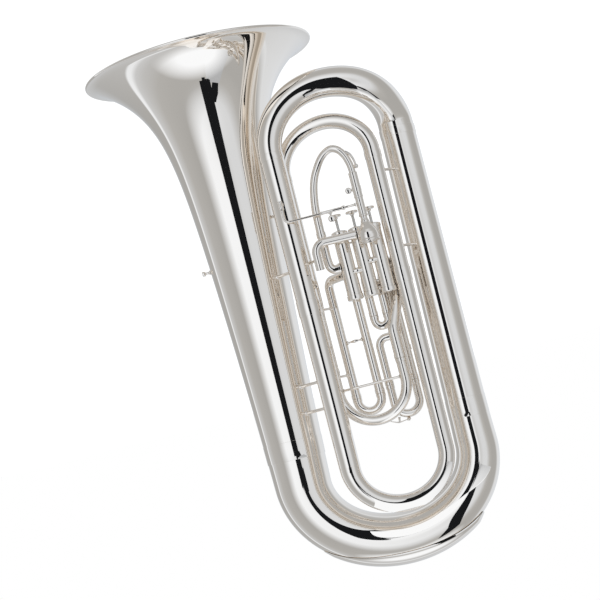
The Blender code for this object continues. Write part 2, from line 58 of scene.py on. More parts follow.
BELL_X = 78.5
BELL_TOP_Z = 774.5
BELL_WALL = 1.2
BEAD_R = 2.5
BELL_RIM_R = 225.0
BOTTOM_BOW_Z = 843.0
BOTTOM_BOW_RISE = 140.5
BOTTOM_BOW_R = (56.0, 38.4)
OUTER_BRANCH = {"bottom": (-259.6, -30.0, 774.5), "top": (-262.8, -30.0, 232.0), "r": (38.4, 34.2)}
LEFT_BRANCH = {"top": (-15.2, -98.0, 232.0), "bottom": (-15.6, -98.0, 830.0), "r": (23.2, 19.6)}
INNER_BRANCH = {"bottom": (-197.4, -98.0, 830.0), "top": (-201.6, -98.0, 273.0), "r": (15.2, 15.5)}
BACK_BRANCH = {"top": (-29.8, -56.0, 273.0), "bottom": (-30.4, -56.0, 656.0), "r": (13.6, 10.6)}
TOP_BOW = {"rise": 115.0, "leads": (18.0, 4.0), "lean": 4.0, "swing": 5}
INNER_TOP_BOW = {"rise": 86.7, "leads": (12.0, 4.0), "lean": -4.0}
INNER_BOW_RISE = 88.0
BOW_LEAD = 4.0
TUBE_WALL, SLIDE_WALL = 0.8, 0.7
VALVE_Y = -97.0
VALVE_X = (-104.0, -136.0, -168.0)
CASING_R, CASING_Z, CAP_R = 14.0, (401.0, 527.0), 15.4
PISTON_R, PISTON_Z, STEM_R = 12.6, (414.0, 486.0), 2.6
BUTTON_R, BUTTON_Z = 11.7, (366.7, 375.2)
SPRING_Z = (453.0, 522.5)
MAIN_SLIDE = {"right": (-157.5, -92.0), "left": (-30.4, -56.0), "end_z": 656.0, "bend_z": 693.5, "drop": 64.7,
              "outer_r": 10.6, "inner_r": 9.3, "crook_r": 10.0}
FIRST_SLIDE = {"right": (-106.3, -52.0), "left": (-61.3, -40.0), "end_z": 710.0, "bend_z": 716.4, "drop": 22.5,
               "outer_r": 8.6, "inner_r": 7.4, "crook_r": 8.3}
SECOND_SLIDE = {"right": (-155.0, -66.0), "left": (-129.8, -66.0), "end_z": 567.0, "bend_z": 576.0,
                "drop": 12.6, "outer_r": 8.0, "inner_r": 6.8, "crook_r": 7.8}
THIRD_SLIDE = {"right": (-176.0, -40.0), "left": (-127.6, -45.0), "end_z": 700.0, "bend_z": 735.5, "drop": 24.2,
               "outer_r": 8.0, "inner_r": 6.8, "crook_r": 7.8}
MOUTHPIECE_X, MOUTHPIECE_Y = -154.0, -140.0
RECEIVER_Z = (303.0, 387.0)
RIM_Z, RIM_R = 436.0, 21.0

# ---- materials -----------------------------------------------------------------------------------


def metal(name, colour, worn, roughness, waviness=0.0, grain=0.0):
    """Polished metal with faint colour drift, roughness that varies with handling, and a trace of waviness."""
    made = bpy.data.materials.new(name)
    made.use_nodes = True
    nodes, links = made.node_tree.nodes, made.node_tree.links
    shader = nodes["Principled BSDF"]
    shader.inputs["Metallic"].default_value = 1.0
    where = nodes.new("ShaderNodeTexCoord")

    drift = nodes.new("ShaderNodeTexNoise")
    drift.inputs["Scale"].default_value = 7.0
    drift.inputs["Detail"].default_value = 3.0
    links.new(where.outputs["Object"], drift.inputs["Vector"])
    tint = nodes.new("ShaderNodeValToRGB")
    tint.color_ramp.elements[0].position, tint.color_ramp.elements[1].position = 0.35, 0.68
    tint.color_ramp.elements[0].color = (*worn, 1)
    tint.color_ramp.elements[1].color = (*colour, 1)
    links.new(drift.outputs["Fac"], tint.inputs["Fac"])
    links.new(tint.outputs["Color"], shader.inputs["Base Color"])

    handling = nodes.new("ShaderNodeTexNoise")
    handling.inputs["Scale"].default_value = 28.0
    handling.inputs["Detail"].default_value = 5.0
    links.new(where.outputs["Object"], handling.inputs["Vector"])
    spread = nodes.new("ShaderNodeMapRange")
    spread.inputs["From Min"].default_value, spread.inputs["From Max"].default_value = 0.3, 0.75
    spread.inputs["To Min"].default_value, spread.inputs["To Max"].default_value = roughness
    links.new(handling.outputs["Fac"], spread.inputs["Value"])
    links.new(spread.outputs["Result"], shader.inputs["Roughness"])

    if waviness:
        wave = nodes.new("ShaderNodeTexNoise")
        wave.inputs["Scale"].default_value = 16.0
        wave.inputs["Detail"].default_value = 1.0
        links.new(where.outputs["Object"], wave.inputs["Vector"])
        bump = nodes.new("ShaderNodeBump")
        bump.inputs["Strength"].default_value = 1.0
        bump.inputs["Distance"].default_value = waviness
        links.new(wave.outputs["Fac"], bump.inputs["Height"])
        links.new(bump.outputs["Normal"], shader.inputs["Normal"])
    if grain:
        stretch = nodes.new("ShaderNodeMapping")
        stretch.inputs["Scale"].default_value = (1, 1, 25)
        links.new(where.outputs["Object"], stretch.inputs["Vector"])
        lines = nodes.new("ShaderNodeTexNoise")
        lines.inputs["Scale"].default_value = 180.0
        links.new(stretch.outputs["Vector"], lines.inputs["Vector"])
        bump = nodes.new("ShaderNodeBump")
        bump.inputs["Strength"].default_value = 1.0
        bump.inputs["Distance"].default_value = grain
        links.new(lines.outputs["Fac"], bump.inputs["Height"])
        links.new(bump.outputs["Normal"], shader.inputs["Normal"])
    return made


SILVER_LIGHT = (0.945, 0.885, 0.815)
SILVER_WORN = (0.930, 0.868, 0.795)
MATERIALS = {
    "silver_plate": metal("plated_silver", SILVER_LIGHT, SILVER_WORN, (0.015, 0.04), waviness=0.00006),
    "piston_nickel": metal("honed_nickel", (0.70, 0.68, 0.64), (0.62, 0.60, 0.56), (0.12, 0.22), grain=0.00001),
    "spring_steel": metal("spring_wire", (0.46, 0.46, 0.47), (0.40, 0.40, 0.41), (0.25, 0.40)),
}


def plain(name, colour, roughness, scale, depth):
    """Cork, felt or pearl: a mottled colour and a fine bump."""
    made = bpy.data.materials.new(name)
    made.use_nodes = True
    nodes, links = made.node_tree.nodes, made.node_tree.links
    shader = nodes["Principled BSDF"]
    shader.inputs["Roughness"].default_value = roughness
    where = nodes.new("ShaderNodeTexCoord")
    cells = nodes.new("ShaderNodeTexNoise")
    cells.inputs["Scale"].default_value = scale
    cells.inputs["Detail"].default_value = 6.0
    links.new(where.outputs["Object"], cells.inputs["Vector"])
    tint = nodes.new("ShaderNodeValToRGB")
    tint.color_ramp.elements[0].color = (*[0.7 * c for c in colour], 1)
    tint.color_ramp.elements[1].color = (*colour, 1)
    links.new(cells.outputs["Fac"], tint.inputs["Fac"])
    links.new(tint.outputs["Color"], shader.inputs["Base Color"])
    bump = nodes.new("ShaderNodeBump")
    bump.inputs["Distance"].default_value = depth
    links.new(cells.outputs["Fac"], bump.inputs["Height"])
    links.new(bump.outputs["Normal"], shader.inputs["Normal"])
    return made


CORK = plain("cork", (0.62, 0.42, 0.24), 0.8, 900.0, 0.0002)

# ---- paths ---------------------------------------------------------------------------------------


def along(start, end, t):
    return Vector(start).lerp(Vector(end), t)


def half_ellipse(start, end, depth, steps=72):
    """Points of a U-bend from one leg's end to the other's; depth is how far its middle lies along Z."""
    start, end = Vector(start), Vector(end)
    middle, reach = (start + end) / 2, (start - end) / 2
    turns = [math.pi * i / steps for i in range(steps + 1)]
    return [middle + reach * math.cos(t) + Vector((0, 0, depth * math.sin(t))) for t in turns]


def bow_path(start, end, depth, steps=72, leads=(BOW_LEAD, BOW_LEAD), lean=0.0, swing=0):
    """A U-bend with a straight lead at each end and its middle moved by lean along X.

    With swing the bow crosses from the first leg's Y to the second's before its middle, and then keeps to it.
    The higher swing is, the nearer the first leg it crosses.
    """
    way = Vector((0, 0, math.copysign(1, depth)))
    start, end = Vector(start), Vector(end)
    middle = (start + end) / 2 + Vector((lean, 0, 0))
    path = [start]
    for i in range(steps + 1):
        turn = math.pi * i / steps
        leg, lead = (start, leads[0]) if turn <= math.pi / 2 else (end, leads[1])
        drop = lead + (abs(depth) - lead) * math.sin(turn)
        point = middle + (leg - middle) * abs(math.cos(turn)) + way * drop
        if swing:
            point.y = end.y + (start.y - end.y) * max(0.0, math.cos(turn)) ** swing
        path.append(point)
    return path + [end]


def rounded(corners, radii, steps=20):
    """The corners as a path whose inner corners are arcs of the given radii."""
    corners = [Vector(c) for c in corners]
    path = [corners[0]]
    for before, corner, after, radius in zip(corners, corners[1:], corners[2:], radii):
        into, out = (corner - before).normalized(), (after - corner).normalized()
        turn = into.angle(out)
        if turn < 0.02:
            path.append(corner)
            continue
        cut = min(radius * math.tan(turn / 2), 0.46 * (corner - before).length, 0.46 * (after - corner).length)
        radius = cut / math.tan(turn / 2)
        first = corner - into * cut
        centre = first + (out - into * into.dot(out)).normalized() * radius
        spin = into.cross(out).normalized()
        for i in range(steps + 1):
            path.append(centre + Matrix.Rotation(turn * i / steps, 3, spin) @ (first - centre))
    path.append(corners[-1])
    return path


def flowing(points, per=10):
    """A smooth curve through the points (centripetal Catmull-Rom)."""
    points = [Vector(p) for p in points]
    points = [points[0] * 2 - points[1]] + points + [points[-1] * 2 - points[-2]]
    path = []
    for p0, p1, p2, p3 in zip(points, points[1:], points[2:], points[3:]):
        t1 = math.sqrt((p1 - p0).length)
        t2 = t1 + math.sqrt((p2 - p1).length)
        t3 = t2 + math.sqrt((p3 - p2).length)
        for i in range(per):
            t = t1 + (t2 - t1) * i / per
            a1 = p0 * ((t1 - t) / t1) + p1 * (t / t1)
            a2 = p1 * ((t2 - t) / (t2 - t1)) + p2 * ((t - t1) / (t2 - t1))
            a3 = p2 * ((t3 - t) / (t3 - t2)) + p3 * ((t - t2) / (t3 - t2))
            b1 = a1 * ((t2 - t) / t2) + a2 * (t / t2)
            b2 = a2 * ((t3 - t) / (t3 - t1)) + a3 * ((t - t1) / (t3 - t1))
            path.append(b1 * ((t2 - t) / (t2 - t1)) + b2 * ((t - t1) / (t2 - t1)))
    path.append(points[-2])
    return path


def shares(path):
    """How far along the path each point lies, from 0 to 1."""
    lengths = [0.0]
    for a, b in zip(path, path[1:]):
        lengths.append(lengths[-1] + (b - a).length)
    return [s / lengths[-1] for s in lengths]


def tapered(path, start_r, end_r):
    return [start_r + (end_r - start_r) * s for s in shares(path)]


# ---- building surfaces ---------------------------------------------------------------------------


def piece(name, rows, loop, node=None, body=None, finish="silver_plate", material=None):
    """A closed skin over rings of points. With loop the last ring joins the first; else each end gets a cap."""
    sides = len(rows[0])
    mesh = bpy.data.meshes.new(name)
    build = bmesh.new()
    grid = [[build.verts.new(Vector(p) * MM) for p in row] for row in rows]
    pairs = list(zip(grid, grid[1:] + grid[:1]))
    for a, b in pairs if loop else pairs[:-1]:
        for i in range(sides):
            j = (i + 1) % sides
            build.faces.new((a[i], a[j], b[j], b[i]))
    if not loop:
        build.faces.new(grid[0])
        build.faces.new(grid[-1][::-1])
    bmesh.ops.remove_doubles(build, verts=build.verts[:], dist=1e-7)
    bmesh.ops.recalc_face_normals(build, faces=build.faces[:])
    for face in build.faces:
        face.smooth = True
    for edge in build.edges:
        if len(edge.link_faces) == 2 and edge.calc_face_angle(0.0) > SHARP:
            edge.smooth = False
    build.to_mesh(mesh)
    build.free()
    mesh.materials.append(material or MATERIALS[finish])
    obj = bpy.data.objects.new(name, mesh)
    bpy.context.scene.collection.objects.link(obj)
    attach(obj, body or BODY_OF[node])
    if node:
        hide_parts(node)
    return obj


def rings(path, radii, sides, flat=1.0, up=None):
    """A ring of points about each point of the path, without twist. flat squeezes it along its second side."""
    path = [Vector(p) for p in path]
    last = len(path) - 1
    side = None
    rows = []
    for i, (point, r) in enumerate(zip(path, radii)):
        way = (path[min(i + 1, last)] - path[max(i - 1, 0)]).normalized()
        if side is None:
            side = Vector(up) if up else way.orthogonal()
        side = (side - way * side.dot(way)).normalized()
        other = way.cross(side)
        turns = [2 * math.pi * k / sides for k in range(sides)]
        rows.append([point + side * (r * math.cos(t)) + other * (r * flat * math.sin(t)) for t in turns])
    return rows


EDGE = 0.18  # how far the rounding of a tube's end reaches


def tube(node, path, radii, wall=TUBE_WALL, sides=64, name=None, body=None, finish="silver_plate"):
    """A hollow tube along the path with slightly rounded ends."""
    path = [Vector(p) for p in path]
    inset = [(path[1] - path[0]).normalized() * EDGE, (path[-2] - path[-1]).normalized() * EDGE]
    line = [path[0], path[0] + inset[0]] + path[1:-1] + [path[-1] + inset[1], path[-1]]
    full = [radii[0], *radii, radii[-1]]
    outer = [radii[0] - EDGE, *radii, radii[-1] - EDGE]
    rows = rings(line, outer, sides) + rings(line, [r - wall for r in full], sides)[::-1]
    return piece(name or node + "_skin", rows, True, node, body, finish)


def bar(node, path, radii, sides=24, flat=1.0, up=None, name=None, body=None, finish="silver_plate",
        material=None):
    """A solid bar along the path."""
    rows = rings(path, radii, sides, flat, up)
    return piece(name or node + "_skin", rows, False, node, body, finish, material)


def lathe(node, profile, loop, centre=(0, 0, 0), direction=(0, 0, 1), steps=72, edge=0.3, knurl=None,
          squeeze=(1, 1), name=None, body=None, finish="silver_plate", material=None):
    """A turned piece: the profile's (radius, height) pairs, corners rounded by edge, spun about direction.

    knurl = (lowest, highest, ridges, depth, least radius) cuts fine ridges where the height lies between the
    first two and the radius is at least the last.
    """
    corners = [Vector((r, 0, z)) for r, z in profile]
    if edge:
        if loop:
            corners = [(corners[-1] + corners[0]) / 2] + corners + [(corners[-1] + corners[0]) / 2]
        corners = rounded(corners, [edge] * (len(corners) - 2), 4)
        if loop:
            corners.pop()
    if knurl:
        steps = knurl[2] * 4
    turn = Vector(direction).to_track_quat("Z", "Y").to_matrix()
    rows = []
    for c in corners:
        r, z = max(c.x, 0.004), c.z
        row = []
        for k in range(steps):
            a = 2 * math.pi * k / steps
            cut = 0.0
            if knurl and knurl[0] <= z <= knurl[1] and r > 1:
                cut = knurl[3] * (0.5 - 0.5 * math.cos(knurl[2] * a)) * (r > knurl[4])
            row.append(Vector(centre) + turn @ Vector(((r - cut) * math.cos(a) * squeeze[0],
                                                       (r - cut) * math.sin(a) * squeeze[1], z)))
        rows.append(row)
    return piece(name or node + "_skin", rows, loop, node, body, finish, material)


def sleeve(node, centre, direction, bore_r, outer_r, length, name=None, body=None, bead=0.0, steps=72):
    """A ferrule, with an optional bead standing proud at each end."""
    half = length / 2
    if bead:
        profile = [(bore_r, half), (outer_r + bead, half), (outer_r + bead, half - 1.6), (outer_r, half - 2.4),
                   (outer_r, 2.4 - half), (outer_r + bead, 1.6 - half), (outer_r + bead, -half),
                    (bore_r, -half)]
    else:
        profile = [(bore_r, half), (outer_r, half), (outer_r, -half), (bore_r, -half)]
    return lathe(node, profile, True, centre, direction, steps, 0.28, name=name, body=body)


def stay(node, start, end, rod_r=2.4, foot_r=5.0, belly=0.0, name=None, body=None):
    """A turned brace: round feet, waisted toward the rod; belly swells its middle."""
    start, end = Vector(start), Vector(end)
    length = (end - start).length
    foot, flare = 1.3, min(5.5, 0.28 * length)
    count = 8
    half = [(0.0, 0.0), (foot_r - 0.5, 0.0), (foot_r, 0.5), (foot_r, foot)]
    for i in range(count + 1):
        t = i / count
        half.append((rod_r + (foot_r * 0.72 - rod_r) * (1 - t) ** 2.4, foot + 0.25 + (flare - foot) * t))
    profile = list(half)
    for i in range(1, 10):
        t = i / 10
        z = half[-1][1] + (length - 2 * half[-1][1]) * t
        profile.append((rod_r + belly * math.sin(math.pi * t) ** 2, z))
    profile += [(r, length - z) for r, z in reversed(half)]
    return lathe(node, profile, False, start, end - start, 36, 0.0, name=name, body=body)


# ---- bell and large bore -------------------------------------------------------------------------


def bell_radius(z):
    up = BELL_TOP_Z - 7.5 - z
    return 56.6 + 0.036 * up + 2.9e-5 * up * up + 119.0 * math.exp(-z / 70.0) + 4.7 * math.exp(-z / 8.0)


def bell():
    rows, low = 150, 10.0
    heights = [low + (BELL_TOP_Z - low) * (i / rows) ** 1.7 for i in range(rows, -1, -1)]
    outer = [Vector((bell_radius(z), 0, z)) for z in heights]
    start, end = outer[-1], Vector((BELL_RIM_R - BEAD_R, 0, 2 * BEAD_R))
    slope = (outer[-1] - outer[-2]).normalized()
    reach = (end - start).length
    for i in range(1, 15):
        t = i / 14
        a, b, c, d = 2*t**3 - 3*t*t + 1, t**3 - 2*t*t + t, 3*t*t - 2*t**3, t**3 - t*t
        outer.append(start * a + slope * (reach * b) + end * c + Vector((1, 0, 0)) * (reach * d))
    inner = []
    for i, point in enumerate(outer):
        way = (outer[min(i + 1, len(outer) - 1)] - outer[max(i - 1, 0)]).normalized()
        normal = Vector((-way.z, 0, way.x))
        if point.x < BELL_RIM_R - BEAD_R - 2.6:
            inner.append(point - normal * BELL_WALL)
    centre = end - Vector((0, 0, BEAD_R))
    bead = []
    for i in range(1, 25):
        a = math.radians(90 - 230 * i / 24)
        bead.append(centre + Vector((math.cos(a), 0, math.sin(a))) * BEAD_R)
    profile = [(p.x, p.z) for p in outer + bead + inner[::-1]]
    lathe("bell", profile, True, (BELL_X, 0, 0), steps=256, edge=0)


def large_bows():
    bell_leg = Vector((BELL_X, 0.0, BELL_TOP_Z))
    outer_leg = Vector(OUTER_BRANCH["bottom"])
    bend = half_ellipse((BELL_X, 0, BOTTOM_BOW_Z), (*outer_leg[:2], BOTTOM_BOW_Z), BOTTOM_BOW_RISE, 120)
    path = [bell_leg] + bend + [outer_leg]
    tube("bottom_bow", path, tapered(path, *BOTTOM_BOW_R), 1.0, 128)
    lathe("bell_ferrule", [(55.2, 18), (56.5, 18), (57.5, -18), (56.2, -18)], True, bell_leg, steps=128)
    lathe("bow_ferrule", [(38.0, 18), (39.2, 18), (38.7, -18), (37.6, -18)], True, outer_leg, steps=96)

    tube("outer_branch", [outer_leg, OUTER_BRANCH["top"]], OUTER_BRANCH["r"], 1.0, 96)
    path = bow_path(OUTER_BRANCH["top"], LEFT_BRANCH["top"], -TOP_BOW["rise"], 110, TOP_BOW["leads"],
                    TOP_BOW["lean"],
                    TOP_BOW["swing"])
    tube("top_bow", path, tapered(path, OUTER_BRANCH["r"][1], LEFT_BRANCH["r"][0]), 0.9, 96)
    tube("left_branch", [LEFT_BRANCH["top"], LEFT_BRANCH["bottom"]], LEFT_BRANCH["r"], 0.9, 72)
    path = bow_path(LEFT_BRANCH["bottom"], INNER_BRANCH["bottom"], INNER_BOW_RISE, 96)
    wide, narrow = LEFT_BRANCH["r"][1], INNER_BRANCH["r"][0]
    tube("inner_bow", path, [narrow + (wide - narrow) * (1 - s) ** 2 for s in shares(path)])
    tube("inner_right_branch", [INNER_BRANCH["bottom"], INNER_BRANCH["top"]], INNER_BRANCH["r"])
    path = bow_path(INNER_BRANCH["top"], BACK_BRANCH["top"], -INNER_TOP_BOW["rise"], 96, INNER_TOP_BOW["leads"],
                    INNER_TOP_BOW["lean"])
    tube("inner_top_bow", path, tapered(path, INNER_BRANCH["r"][1], BACK_BRANCH["r"][0]))
    top, bottom = BACK_BRANCH["top"], BACK_BRANCH["bottom"]
    stations = [(0.0, 13.6), (0.62, 12.7), (0.64, 12.6), (0.66, 12.2), (0.69, 11.1), (0.71, 10.7), (0.73, 10.6),
                (1.0, 10.6)]
    tube("back_branch", [along(top, bottom, t) for t, r in stations], [r for t, r in stations], SLIDE_WALL)

    middle = along(INNER_BRANCH["bottom"], INNER_BRANCH["top"], 0.58)
    sleeve("inner_ferrule", middle, (0, 0, 1), 15.2, 16.2, 28)
    joints = [("left_joint", (-15.4, -98.0, 524.5), 21.2, 22.3, 30),
              ("left_top_joint", (-15.2, -98.0, 232.0), 22.9, 24.0, 14),
              ("outer_top_joint", (-262.8, -30.0, 232.0), 33.9, 34.9, 16),
              ("inner_top_joint", (-201.6, -98.0, 273.0), 15.2, 16.2, 13),
              ("back_top_joint", (-29.8, -56.0, 273.0), 13.3, 14.3, 13)]
    for name, centre, bore, outer, length in joints:
        sleeve(None, centre, (0, 0, 1), bore, outer, length, name=name, body="frame")


def bow_guard():
    """The cap over the outside of the bottom bow, thicker toward the outer branch, with a crisp rolled edge."""
    left, right = Vector((BELL_X, 0, BOTTOM_BOW_Z)), Vector((*OUTER_BRANCH["bottom"][:2], BOTTOM_BOW_Z))
    middle, reach = (left + right) / 2, (left - right) / 2
    rise = Vector((0, 0, BOTTOM_BOW_RISE))
    first, last = math.radians(42), math.radians(136)
    wide, narrow = BOTTOM_BOW_R
    lead_share = 0.11
    across_count, along_count = 48, 120
    rows = []
    for i in range(along_count + 1):
        s = i / along_count
        turn = first + (last - first) * s
        out = (reach * math.cos(turn) / reach.length_squared + rise * math.sin(turn) / rise.length_squared)
        out.normalize()
        across = out.cross(-reach * math.sin(turn) + rise * math.cos(turn)).normalized()
        width = math.radians(20 + 36 * math.sin(math.pi * s))
        tube_r = wide + (narrow - wide) * (lead_share + (1 - 2 * lead_share) * turn / math.pi)
        centre = middle + reach * math.cos(turn) + rise * math.sin(turn)
        body_thick = 1.6 + 4.6 * s
        fade = min(1.0, 14 * s + 0.15, 14 * (1 - s) + 0.15)

        def at(side, height):
            a = width * side
            return centre + (out * math.cos(a) + across * math.sin(a)) * (tube_r + height)

        row = []
        for k in range(across_count + 1):
            side = 2 * k / across_count - 1
            edge = min(1.0, (1 - abs(side)) * 9)
            thick = body_thick * (1 - 0.7 * side * side) * fade
            row.append(at(side, 0.5 + thick * math.sqrt(max(0.0, 1 - (1 - edge) ** 2)) + 0.5))
        for k in range(across_count - 1, 0, -1):
            row.append(at(2 * k / across_count - 1, 0.35))
        rows.append(row)
    piece("bow_guard_skin", rows, False, "bow_guard")


# ---- valves --------------------------------------------------------------------------------------


def valve(number, x):
    place = (x, VALVE_Y, 0)
    low, high = CASING_Z
    bore = CASING_R - SLIDE_WALL
    casing = [(bore, high), (CASING_R, high), (CASING_R, high - 1), (CASING_R, low + 1), (CASING_R, low),
              (bore, low)]
    lathe(f"valve_casing_{number}", casing, True, place)
    skirt = CASING_R + 0.05
    top = [(skirt, low + 6), (CAP_R, low + 6), (CAP_R, low + 0.5), (CAP_R - 0.7, low - 0.6),
           (CAP_R - 3.4, low - 2.2),
           (STEM_R + 4, low - 3.6), (STEM_R + 1, low - 3.6), (STEM_R + 1, low - 0.4), (skirt, low - 0.4)]
    lathe(f"top_cap_{number}", top, True, place, edge=0.45,
          knurl=(low + 1.4, low + 5.2, 56, 0.35, CASING_R + 0.6))
    bottom = [(2.5, high + 4.6), (CAP_R - 2.4, high + 4.6), (CAP_R - 1.0, high + 4.0), (CAP_R, high + 2.6),
              (CAP_R, high - 5), (skirt, high - 5), (skirt, high + 0.4), (2.5, high + 0.4)]
    lathe(f"bottom_cap_{number}", bottom, True, place, edge=0.5,
          knurl=(high - 4, high + 2.0, 56, 0.35, CASING_R + 0.6))
    for tag, z in (("upper", low + 9), ("lower", high - 8)):
        sleeve(None, (x, VALVE_Y, z), (0, 0, 1), CASING_R - 0.2, CASING_R + 0.55, 3.4,
               name=f"casing_band_{tag}_{number}", body="frame")

    start, end = PISTON_Z
    cup_r, cup_floor = 9.6, SPRING_Z[0] - 0.8
    piston = [(0, cup_floor), (cup_r, cup_floor), (cup_r, end), (PISTON_R, end), (PISTON_R, start),
              (STEM_R, start), (STEM_R, BUTTON_Z[1] - 1), (0, BUTTON_Z[1] - 1)]
    lathe(f"piston_{number}", piston, False, place, finish="piston_nickel")
    low, high = BUTTON_Z
    button = [(0, high), (4.2, high), (4.6, high - 2.2), (6.2, high - 3.4), (BUTTON_R - 0.8, high - 3.8),
              (BUTTON_R, high - 4.6), (BUTTON_R, low + 1.3), (BUTTON_R - 1.2, low), (BUTTON_R - 2.8, low + 0.5),
              (4.0, low + 1.1), (0, low + 1.3)]
    lathe(f"button_{number}", button, False, place, edge=0.6)


def valves():
    for number, x in enumerate(VALVE_X, 1):
        valve(number, x)
        frame["nodes"][f"spring_{number}"].data.materials.clear()
        frame["nodes"][f"spring_{number}"].data.materials.append(MATERIALS["spring_steel"])
    for node, left, z in (("knuckle_12", 0, 479.0), ("knuckle_23", 1, 466.5)):
        x = (VALVE_X[left] + VALVE_X[left + 1]) / 2
        arc = [(4.3 + 1.5 * math.cos(math.pi * i / 24 - math.pi / 2) ** 2, 9.0 * (i / 12 - 1))
               for i in range(25)]
        profile = [(0, -9.0)] + arc + [(0, 9.0)]
        lathe(node, profile, False, (x, VALVE_Y - 8.6, z), (1, 0, 0), 40, 0)
    for tag, left, z in (("lower", 0, 425.0), ("upper", 1, 505.0)):
        x = (VALVE_X[left] + VALVE_X[left + 1]) / 2
        stay(None, (x + 3.2, VALVE_Y - 3, z), (x - 3.2, VALVE_Y - 3, z), 2.0, 2.6, name=f"casing_tie_{tag}",
             body="frame")


# ---- tuning slides -------------------------------------------------------------------------------


def crook(node, slide, insertion):
    left, right = [Vector((*slide[side], 0)) for side in ("left", "right")]
    end_z, bend_z = slide["end_z"], slide["bend_z"]
    lift = Vector((0, 0, 1))
    bend = half_ellipse(left + lift * bend_z, right + lift * bend_z, slide["drop"], 64)
    inside, outside = slide["inner_r"], slide["crook_r"]
    stations = [(end_z - insertion, inside), (end_z + 0.05, inside), (end_z + 0.15, outside - 0.15),
                (end_z + 0.4, outside)]
    path = [left + lift * z for z, r in stations] + bend + [right + lift * z for z, r in reversed(stations)]
    radii = [r for z, r in stations]
    tube(node, path, radii + [outside] * len(bend) + radii[::-1], SLIDE_WALL, 48)
    body = BODY_OF[node]
    for tag, leg in (("left", left), ("right", right)):
        sleeve(None, leg + lift * (end_z + 3.6), (0, 0, 1), outside - 0.2, outside + 0.75, 6.4,
               name=f"{node}_collar_{tag}", body=body, steps=48)


def end_ring(name, slide, side):
    """The reinforcing ring at the mouth of a fixed slide tube."""
    centre = Vector((*slide[side], slide["end_z"] - 4.2))
    sleeve(None, centre, (0, 0, 1), slide["outer_r"] - 0.2, slide["outer_r"] + 0.7, 8, name=name, body="frame",
           steps=48)


def port(valve_index, leg, z):
    """Just inside a casing's wall, on the line from the leg to the valve's axis."""
    axis = Vector((VALVE_X[valve_index], VALVE_Y, z))
    toward = Vector((*leg, z)) - axis
    return axis + toward.normalized() * (CASING_R - 0.3)


def slide_leg(node, slide, side, valve_index, port_z, bend_r):
    leg = slide[side]
    corners = [(*leg, slide["end_z"]), (*leg, port_z), port(valve_index, leg, port_z)]
    path = rounded(corners, [bend_r])
    tube(node, path, [slide["outer_r"]] * len(path), SLIDE_WALL, 48)
    end_ring(node + "_ring", slide, side)
    saddle(node + "_saddle", valve_index, leg, port_z, slide["outer_r"])


def saddle(name, valve_index, leg, z, r):
    """The soldered collar where a slide tube enters its casing."""
    axis = Vector((VALVE_X[valve_index], VALVE_Y, z))
    toward = (Vector((*leg, z)) - axis).normalized()
    sleeve(None, axis + toward * (CASING_R + 1.2), toward, r - 0.3, r + 0.9, 3.6, name=name, body="frame",
           steps=48)


def slides():
    slide_leg("first_slide_inlet", FIRST_SLIDE, "left", 0, 480.0, 16)
    slide_leg("first_slide_outlet", FIRST_SLIDE, "right", 0, 508.0, 13)
    crook("first_slide_crook", FIRST_SLIDE, 80)
    clear = FIRST_SLIDE["outer_r"]
    left, right = [Vector((*FIRST_SLIDE[side], 603.0)) for side in ("left", "right")]
    toward = (right - left).normalized()
    stay("first_slide_stay", left + toward * clear, right - toward * clear, 1.7, 4.0, 1.5)

    slide_leg("second_slide_inlet", SECOND_SLIDE, "left", 1, 493.0, 10)
    slide_leg("second_slide_outlet", SECOND_SLIDE, "right", 1, 512.0, 12)
    crook("second_slide_crook", SECOND_SLIDE, 38)

    slide_leg("third_slide_inlet", THIRD_SLIDE, "right", 2, 448.0, 16)
    x, y = THIRD_SLIDE["left"]
    back = (-162.0, -50.5)
    arch_z, port_z = 610.0, 494.0
    corners = [(x, y, THIRD_SLIDE["end_z"]), (x, y, arch_z), (*back, arch_z), (*back, port_z),
               port(2, back, port_z)]
    path = rounded(corners, [23.5, 10.0, 12.0])
    tube("third_slide_outlet", path, [THIRD_SLIDE["outer_r"] - 0.2] * len(path), SLIDE_WALL, 48)
    end_ring("third_outlet_ring", THIRD_SLIDE, "left")
    saddle("third_outlet_saddle", 2, back, port_z, THIRD_SLIDE["outer_r"])
    crook("third_slide_crook", THIRD_SLIDE, 56)
    sleeve(None, (-176.0, -40.0, 638.5), (0, 0, 1), 7.8, 9.3, 10, name="third_leg_ferrule", body="frame",
           bead=0.3)

    leg, end_z = MAIN_SLIDE["right"], MAIN_SLIDE["end_z"]
    back = (-183.7, -69.0)
    port_z = 475.0
    corners = [(*leg, end_z), (*leg, 600.0), (*back, 536.0), (*back, port_z), port(2, back, port_z)]
    path = rounded(corners, [30.0, 30.0, 12.0])
    tube("main_slide_inlet", path, [MAIN_SLIDE["outer_r"]] * len(path), SLIDE_WALL, 56)
    end_ring("main_inlet_ring", MAIN_SLIDE, "right")
    end_ring("main_back_ring", MAIN_SLIDE, "left")
    saddle("main_inlet_saddle", 2, back, port_z, MAIN_SLIDE["outer_r"])
    crook("main_slide_crook", MAIN_SLIDE, 46)
    clear = MAIN_SLIDE["crook_r"]
    left, right = [Vector((*MAIN_SLIDE[side], 689.5)) for side in ("left", "right")]
    toward = (right - left).normalized()
    stay("main_slide_stay", left + toward * clear, right - toward * clear, 2.4, 3.6)


